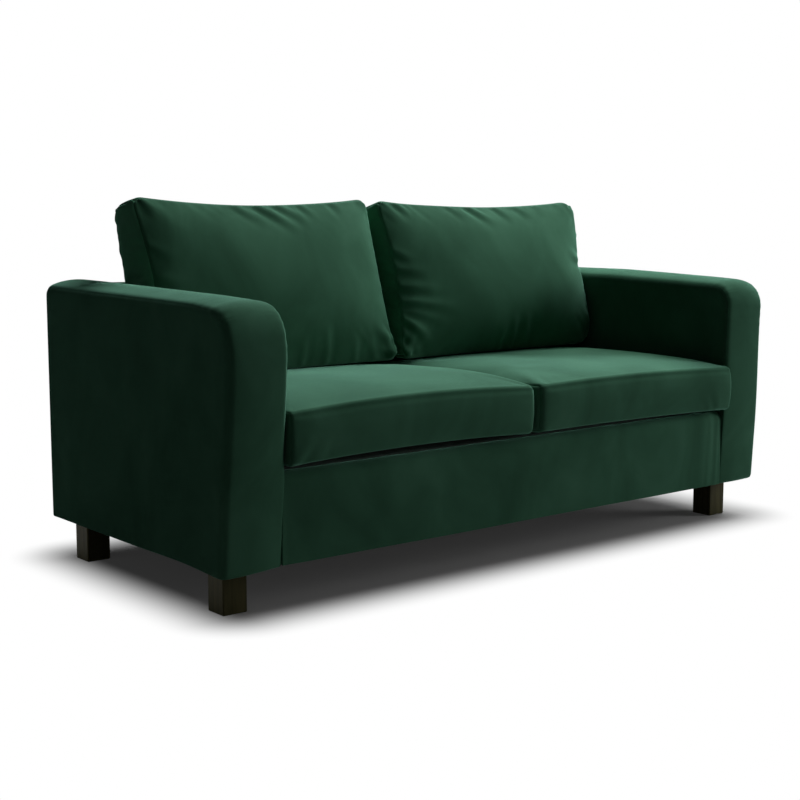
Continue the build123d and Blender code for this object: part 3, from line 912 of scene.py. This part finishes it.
def finish_cushion(body, points, quads):
    """Turn a cushion's points into its piece."""
    obj = make_mesh(f"{body}_pad", points, quads)
    subdivide(obj)
    dress(obj, body, VELVET, "velvet", f"{body}_cover", f"{body}_filling")
    return obj


def make_seat_cushion(name, sign, seed):
    """Loose seat cushion: crowned top panel on a boxing strip, swelled by simulation."""
    body = f"{name}_seat_cushion"
    lo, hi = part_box(f"{body}_cover")
    size = (hi.x - lo.x, hi.y - lo.y, SEAT_EDGE_HEIGHT)
    width, depth, height = size
    flat, quads = box_lattice(*(spread(length, FINE_STEP) for length in size))
    across, back, rise = flat.T
    seam = np.minimum(to_edge(across, width), to_edge(back, depth)) + to_edge(rise, height)

    points = rounded(flat, size, SEAT_RADIUS)
    x, z = round_ends(points[:, 0], points[:, 2], width, height, SEAT_CORNERS[name])
    x, y = round_ends(x, points[:, 1], width, depth, SEAT_UPRIGHT_CORNERS[name])
    share = z / height
    top = SEAT_CROWN * bell(y, depth) + SEAT_BOW * bell(x, width)
    swell = SEAT_SWELL[name] * smooth_step(y, 0.0, 0.18) * (1 - smooth_step(y, 0.28, 0.48))
    outer = x / width if sign > 0 else 1 - x / width
    bulge = SEAT_END_BULGE[name] * smooth_step(outer, 0.9, 1.0) * (1 - smooth_step(y, 0.0, 0.03))
    start = np.column_stack(
        (
            lo.x + x + SEAT_DRAW * bell(y, depth) * (1 - 2 * x / width) + sign * bulge,
            lo.y + y + SEAT_BULGE * (1 - bell(z, height)) * (1 - y / depth),
            lo.z + SEAT_GAP + z + share * (SEAT_START_CROWN * top - SEAT_START_SINK + swell),
        )
    )
    left_lift, right_lift, arch = SEAT_FRONT_LIFT[name]
    edge_lift = left_lift + (right_lift - left_lift) * x / width + arch * bell(x, width)
    lift = edge_lift * (1 - smooth_step(y, 0.0, SEAT_LIFT_DEPTH))
    start[:, 2] += lift
    points = inflate(f"{body}_work", start, quads, seam, SEAT_CAP)

    normals = normals_of(points, quads)
    soft = lumps(flat, scale=4, seed=seed) * smooth_step(seam, 0.004, 0.05)
    front = back == 0
    from_end = across if sign < 0 else width - across
    corner = folds(from_end, rise, 0.09, seed, count=4, slant=0.35, reach=0.05, height=0.0022)
    corner = corner * front * smooth_step(rise, 0.0, 0.012)
    stitch = groove(height - SEAT_STITCH - rise, depth=0.0016, width=0.003) * front
    relief = groove(seam, depth=0.0008, width=0.003) + stitch + SEAT_WAVE * soft + corner
    points += normals * relief[:, None]

    highest = lo.z + height + top + swell + lift + SEAT_TOP_ROOM * (1 - smooth_step(back, 0.40, 0.48))
    lowest = lo.z + SEAT_LEAST_GAP + SEAT_UNDER_LIFT * lift
    points[:, 2] = np.maximum(np.minimum(points[:, 2], highest), lowest)
    points[:, 0] = np.clip(points[:, 0], lo.x - SEAT_END_ROOM - bulge, hi.x + SEAT_END_ROOM + bulge)
    front_limit = lo.y - SEAT_FRONT_ROOM * smooth_step(0.06 - back, 0, 0.04)
    rear_limit = hi.y - ZIP_SINK * zip_mask(across - width / 2, rise - height / 2) * (back == depth)
    points[:, 1] = np.minimum(np.maximum(points[:, 1], front_limit), rear_limit)
    finish_cushion(body, points, quads)


def back_wrinkles(name, sign, seed, flat, width, seam, ends):
    """Height of the folds on a back cushion's front panel and of the puckers on the boxing at its ends."""
    across, back, rise = flat.T
    length = BACK_LENGTH
    total = folds(across, length - rise, width, seed, count=18, slant=0.45, reach=0.06, height=0.0016)
    total += folds(across, rise, width, seed + 40, count=16, slant=0.15, reach=0.045, height=0.0016)
    total += folds(rise, across, length, seed + 50, count=14, slant=-0.15, reach=0.040, height=0.0018)
    total += folds(rise, width - across, length, seed + 60, count=10, slant=-0.15, reach=0.035, height=0.0014)
    for (start_x, start_v), (end_x, end_v), strength in BACK_FOLDS[name]:
        begin = (start_x * width, start_v * length)
        end = (end_x * width, end_v * length)
        total += FOLD_HEIGHT * strength * crease(across, rise, begin, end)

    from_inner = width - across if sign < 0 else across
    knot_x, knot_z = KNOT_PLACE
    knot = np.hypot(from_inner - knot_x, rise - knot_z)
    turn = np.arctan2(rise - knot_z, from_inner - knot_x)
    ring_place, ring_depth, ring_width = KNOT_RING
    ray_place, ray_height, ray_width = KNOT_RAYS
    gather = KNOT_HEIGHT * hump(knot / KNOT_WIDTH) - ring_depth * hump((knot - ring_place) / ring_width)
    gather += ray_height * np.sin(KNOT_RAY_COUNT * turn) * hump((knot - ray_place) / ray_width)
    total += gather

    ruffle = folds(rise, back, length, seed + 70, count=22, slant=0.30, reach=0.075, height=0.0048)
    ruffle += folds(
        rise, BACK_BOXING - back, length, seed + 80, count=20, slant=0.30, reach=0.060, height=0.0038
    )
    return (total * (back == 0) + ruffle * ends) * smooth_step(seam, 0.0, 0.010)


def make_back_cushion(name, sign, seed):
    """Loose back cushion: leaning soft pillow with front and rear panels on a boxing strip."""
    body = f"{name}_back_cushion"
    lo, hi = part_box(f"{body}_cover")
    width = hi.x - lo.x
    size = (width, BACK_BOXING, BACK_LENGTH)
    flat, quads = box_lattice(*(spread(length, FINE_STEP) for length in size))
    rim = np.minimum(to_edge(flat[:, 0], width), to_edge(flat[:, 2], BACK_LENGTH))
    seam = rim + to_edge(flat[:, 1], BACK_BOXING)
    ends = (flat[:, 0] == 0) | (flat[:, 0] == width)

    # Shares of the boxing's depth and of the height, from the front and from the foot
    x, t, v = rounded(flat, size, BACK_RADIUS).T
    x, v = round_ends(x, v, width, BACK_LENGTH, BACK_CORNERS[name])
    t = t / BACK_BOXING
    v = v / BACK_LENGTH

    up = np.array((0, math.sin(BACK_LEAN), math.cos(BACK_LEAN)))
    out = np.array((0, -math.cos(BACK_LEAN), math.sin(BACK_LEAN)))
    rear_foot = np.array((0, BACK_FOOT_DEPTH, 0))
    rear_top = BACK_LENGTH * up - BACK_BOXING * out
    rear_line = rear_top - rear_foot
    rear_out = np.array((0, rear_line[2], -rear_line[1])) / np.linalg.norm(rear_line)
    foot_front = hi.y - rear_top[1]
    arch = bell(v, 1)
    span = bell(x, width)
    pillow = (np.clip(arch, 0, 1) * np.clip(span, 0, 1)) ** BACK_PILLOW_POWER

    outer = x / width if sign > 0 else 1 - x / width
    inner_end = smooth_step(1 - outer, 0.86, 1.0)
    over = BACK_OVERHANG[name] * smooth_step(v, 0.5, 1.0) * smooth_step(outer, 0.55, 1.0)
    over = over * smooth_step(v, 0.47, 0.53)
    draw = np.where(x < width / 2, *BACK_DRAW[name])
    draw_in = BACK_INNER_DRAW[name] * smooth_step(1 - outer, 0.8, 1.0) * v * (1 - t)
    beside_arm = hump((v - BACK_WAIST_PLACE) / BACK_WAIST_REACH)
    waist = BACK_WAIST[name] * beside_arm * smooth_step(outer, 0.88, 1.0)
    tuck = BACK_TUCK * (1 - smooth_step(v, 0.0, 0.16)) * (1 - t) * (1 - inner_end)
    stand_out = BACK_CORNER_OUT[name] * inner_end * (1 - smooth_step(v, 0.05, 0.22))
    pull = BACK_REAR_PULL[name] * smooth_step(outer, 0.75, 1.0) * smooth_step(v, 0.45, 1.0)
    inner_drop, outer_drop = BACK_TOP_DROP[name]
    drop = inner_drop + outer_drop * smooth_step(outer, 0.3, 1.0)
    forward = BACK_END_FORWARD[name] * smooth_step(outer, 0.5, 1.0) * (v if sign < 0 else 1)
    puff = BACK_SIDE_PUFF * bell(t, 1) * smooth_step(v, 0.55, 0.75) * (outer > 0.98)
    sideways = sign * (over + puff + draw_in - waist - stand_out)

    def place(swell):
        front = v[:, None] * BACK_LENGTH * up
        depth = BACK_EDGE_CROWN * arch + forward - tuck + swell * BACK_PILLOW * pillow
        front = front + depth[:, None] * out
        rear = rear_foot + v[:, None] * rear_line
        rear = rear + (swell * BACK_REAR_CROWN * arch)[:, None] * rear_out + pull[:, None] * out
        spot = front * (1 - t)[:, None] + rear * t[:, None]
        spot += (v**2 * (BACK_EAR - drop - BACK_DIP * span))[:, None] * up
        spot[:, 0] = lo.x + x + draw * arch * (1 - 2 * x / width) + sideways
        spot[:, 1] += foot_front
        spot[:, 2] += lo.z
        return spot

    points = inflate(f"{body}_work", place(BACK_START_SWELL), quads, seam, BACK_CAP)

    normals = normals_of(points, quads)
    soft = lumps(flat, scale=4.5, seed=seed) * smooth_step(seam, 0.004, 0.06)
    wrinkle = back_wrinkles(name, sign, seed, flat, width, seam, ends)
    relief = groove(seam, depth=0.0014, width=0.003) + BACK_WAVE * soft + wrinkle
    points += normals * relief[:, None]

    points[:, 2] = np.maximum(points[:, 2], lo.z + BACK_LEAST_GAP)
    reach = over + puff + BACK_END_ROOM + BACK_OUTER_ROOM * smooth_step(v, 0.54, 0.62)
    left_end = lo.x - (reach if sign < 0 else BACK_END_ROOM)
    right_end = hi.x + (reach if sign > 0 else BACK_INNER_ROOM + stand_out)
    points[:, 0] = np.clip(points[:, 0], left_end, right_end)
    under = (flat[:, 2] == 0) * zip_mask(flat[:, 0] - width / 2, 0 * t)
    points[:, 2] = np.maximum(points[:, 2], lo.z + ZIP_SINK * under)
    obj = finish_cushion(body, points, quads)
    # Painted light: the boxing at the ends gets a lighter copy of the velvet
    second_cloth(obj, quads, ends, VELVET_BOXING_LIT[name])


for order, (side_name, side_sign) in enumerate(SIDES):
    make_seat_cushion(side_name, side_sign, 21 + order)
    make_back_cushion(side_name, side_sign, 31 + 3 * order)


# Floor, light and camera


def seen_rays(tree):
    """1 for rays that show the background: from the camera, in a reflection or through something clear."""
    path = tree.nodes.new("ShaderNodeLightPath")
    total = path.outputs["Is Camera Ray"]
    for ray in ("Is Glossy Ray", "Is Transmission Ray"):
        either = tree.nodes.new("ShaderNodeMath")
        either.operation = "MAXIMUM"
        tree.links.new(total, either.inputs[0])
        tree.links.new(path.outputs[ray], either.inputs[1])
        total = either.outputs["Value"]
    return total


def vector_node(tree, operation, source):
    """Vector Math node on a socket."""
    node = tree.nodes.new("ShaderNodeVectorMath")
    node.operation = operation
    tree.links.new(source, node.inputs[0])
    return node


def mix_shaders(tree, factor, first, second):
    """Shader that goes from the first to the second with a factor."""
    node = tree.nodes.new("ShaderNodeMixShader")
    tree.links.new(factor, node.inputs["Fac"])
    tree.links.new(first, node.inputs[1])
    tree.links.new(second, node.inputs[2])
    return node.outputs["Shader"]


def matt_grey(tree, grey):
    """Plain matt grey shader."""
    node = tree.nodes.new("ShaderNodeBsdfDiffuse")
    node.inputs["Color"].default_value = (grey, grey, grey, 1)
    return node.outputs["BSDF"]


def make_floor():
    """Pale floor, white to the camera, with a painted grey patch of shade under the sofa that also takes the
    lamps' shadow.
    """
    reach = FLOOR_REACH
    corners = np.array([(-reach, -reach, 0), (reach, -reach, 0), (reach, reach, 0), (-reach, reach, 0)])
    obj = make_mesh("floor", corners, [(0, 1, 2, 3)])
    obj.location = FLOOR_SHADE_MIDDLE
    material = bpy.data.materials.new("floor")
    material.use_nodes = True
    tree = material.node_tree
    tree.nodes.clear()
    output = tree.nodes.new("ShaderNodeOutputMaterial")
    coords = tree.nodes.new("ShaderNodeTexCoord")
    absolute = vector_node(tree, "ABSOLUTE", coords.outputs["Object"])
    beyond = vector_node(tree, "SUBTRACT", absolute.outputs["Vector"])
    beyond.inputs[1].default_value = FLOOR_SHADE_HALF
    outside = vector_node(tree, "MAXIMUM", beyond.outputs["Vector"])
    distance = vector_node(tree, "LENGTH", outside.outputs["Vector"])
    far = tree.nodes.new("ShaderNodeMapRange")
    far.interpolation_type = "SMOOTHSTEP"
    far.inputs["From Max"].default_value = FLOOR_SHADE_FADE
    far.inputs["To Min"].default_value = FLOOR_SHADE_WHITE
    tree.links.new(distance.outputs["Value"], far.inputs["Value"])
    # Painted shade: matt grey inside the patch, fading to white beyond it
    shade = matt_grey(tree, FLOOR_SHADE_GREY)
    white = tree.nodes.new("ShaderNodeEmission").outputs["Emission"]
    seen = mix_shaders(tree, far.outputs["Result"], shade, white)
    bounce = matt_grey(tree, FLOOR_BOUNCE_GREY)
    surface = mix_shaders(tree, seen_rays(tree), bounce, seen)
    tree.links.new(surface, output.inputs["Surface"])
    obj.data.materials.append(material)


make_floor()


def make_world():
    """White to the camera, and a weak even fill for everything else."""
    world = bpy.data.worlds.new("studio")
    bpy.context.scene.world = world
    world.use_nodes = True
    tree = world.node_tree
    fill = tree.nodes["Background"]
    fill.inputs["Color"].default_value = (1, 1, 1, 1)
    fill.inputs["Strength"].default_value = WORLD_FILL
    white = tree.nodes.new("ShaderNodeBackground")
    white.inputs["Color"].default_value = (1, 1, 1, 1)
    surface = mix_shaders(tree, seen_rays(tree), fill.outputs["Background"], white.outputs["Background"])
    tree.links.new(surface, tree.nodes["World Output"].inputs["Surface"])


make_world()


def add_softbox(name, place, aim, size, power):
    """Square area lamp turned towards a point."""
    lamp = bpy.data.lights.new(name, "AREA")
    lamp.size = size
    lamp.energy = power
    obj = bpy.data.objects.new(name, lamp)
    obj.location = place
    obj.rotation_euler = (Vector(aim) - Vector(place)).to_track_quat("-Z", "Y").to_euler()
    bpy.context.scene.collection.objects.link(obj)


for lamp_values in LAMPS:
    add_softbox(*lamp_values)

camera = bpy.data.cameras.new("camera")
camera.lens = CAMERA_LENS
camera.sensor_width = CAMERA_SENSOR
viewer = bpy.data.objects.new("camera", camera)
viewer.location = CAMERA_PLACE
viewer.rotation_euler = Euler((math.pi / 2 - CAMERA_PITCH, 0, -CAMERA_TURN))
bpy.context.scene.collection.objects.link(viewer)
bpy.context.scene.camera = viewer
bpy.context.scene.view_settings.view_transform = "Standard"
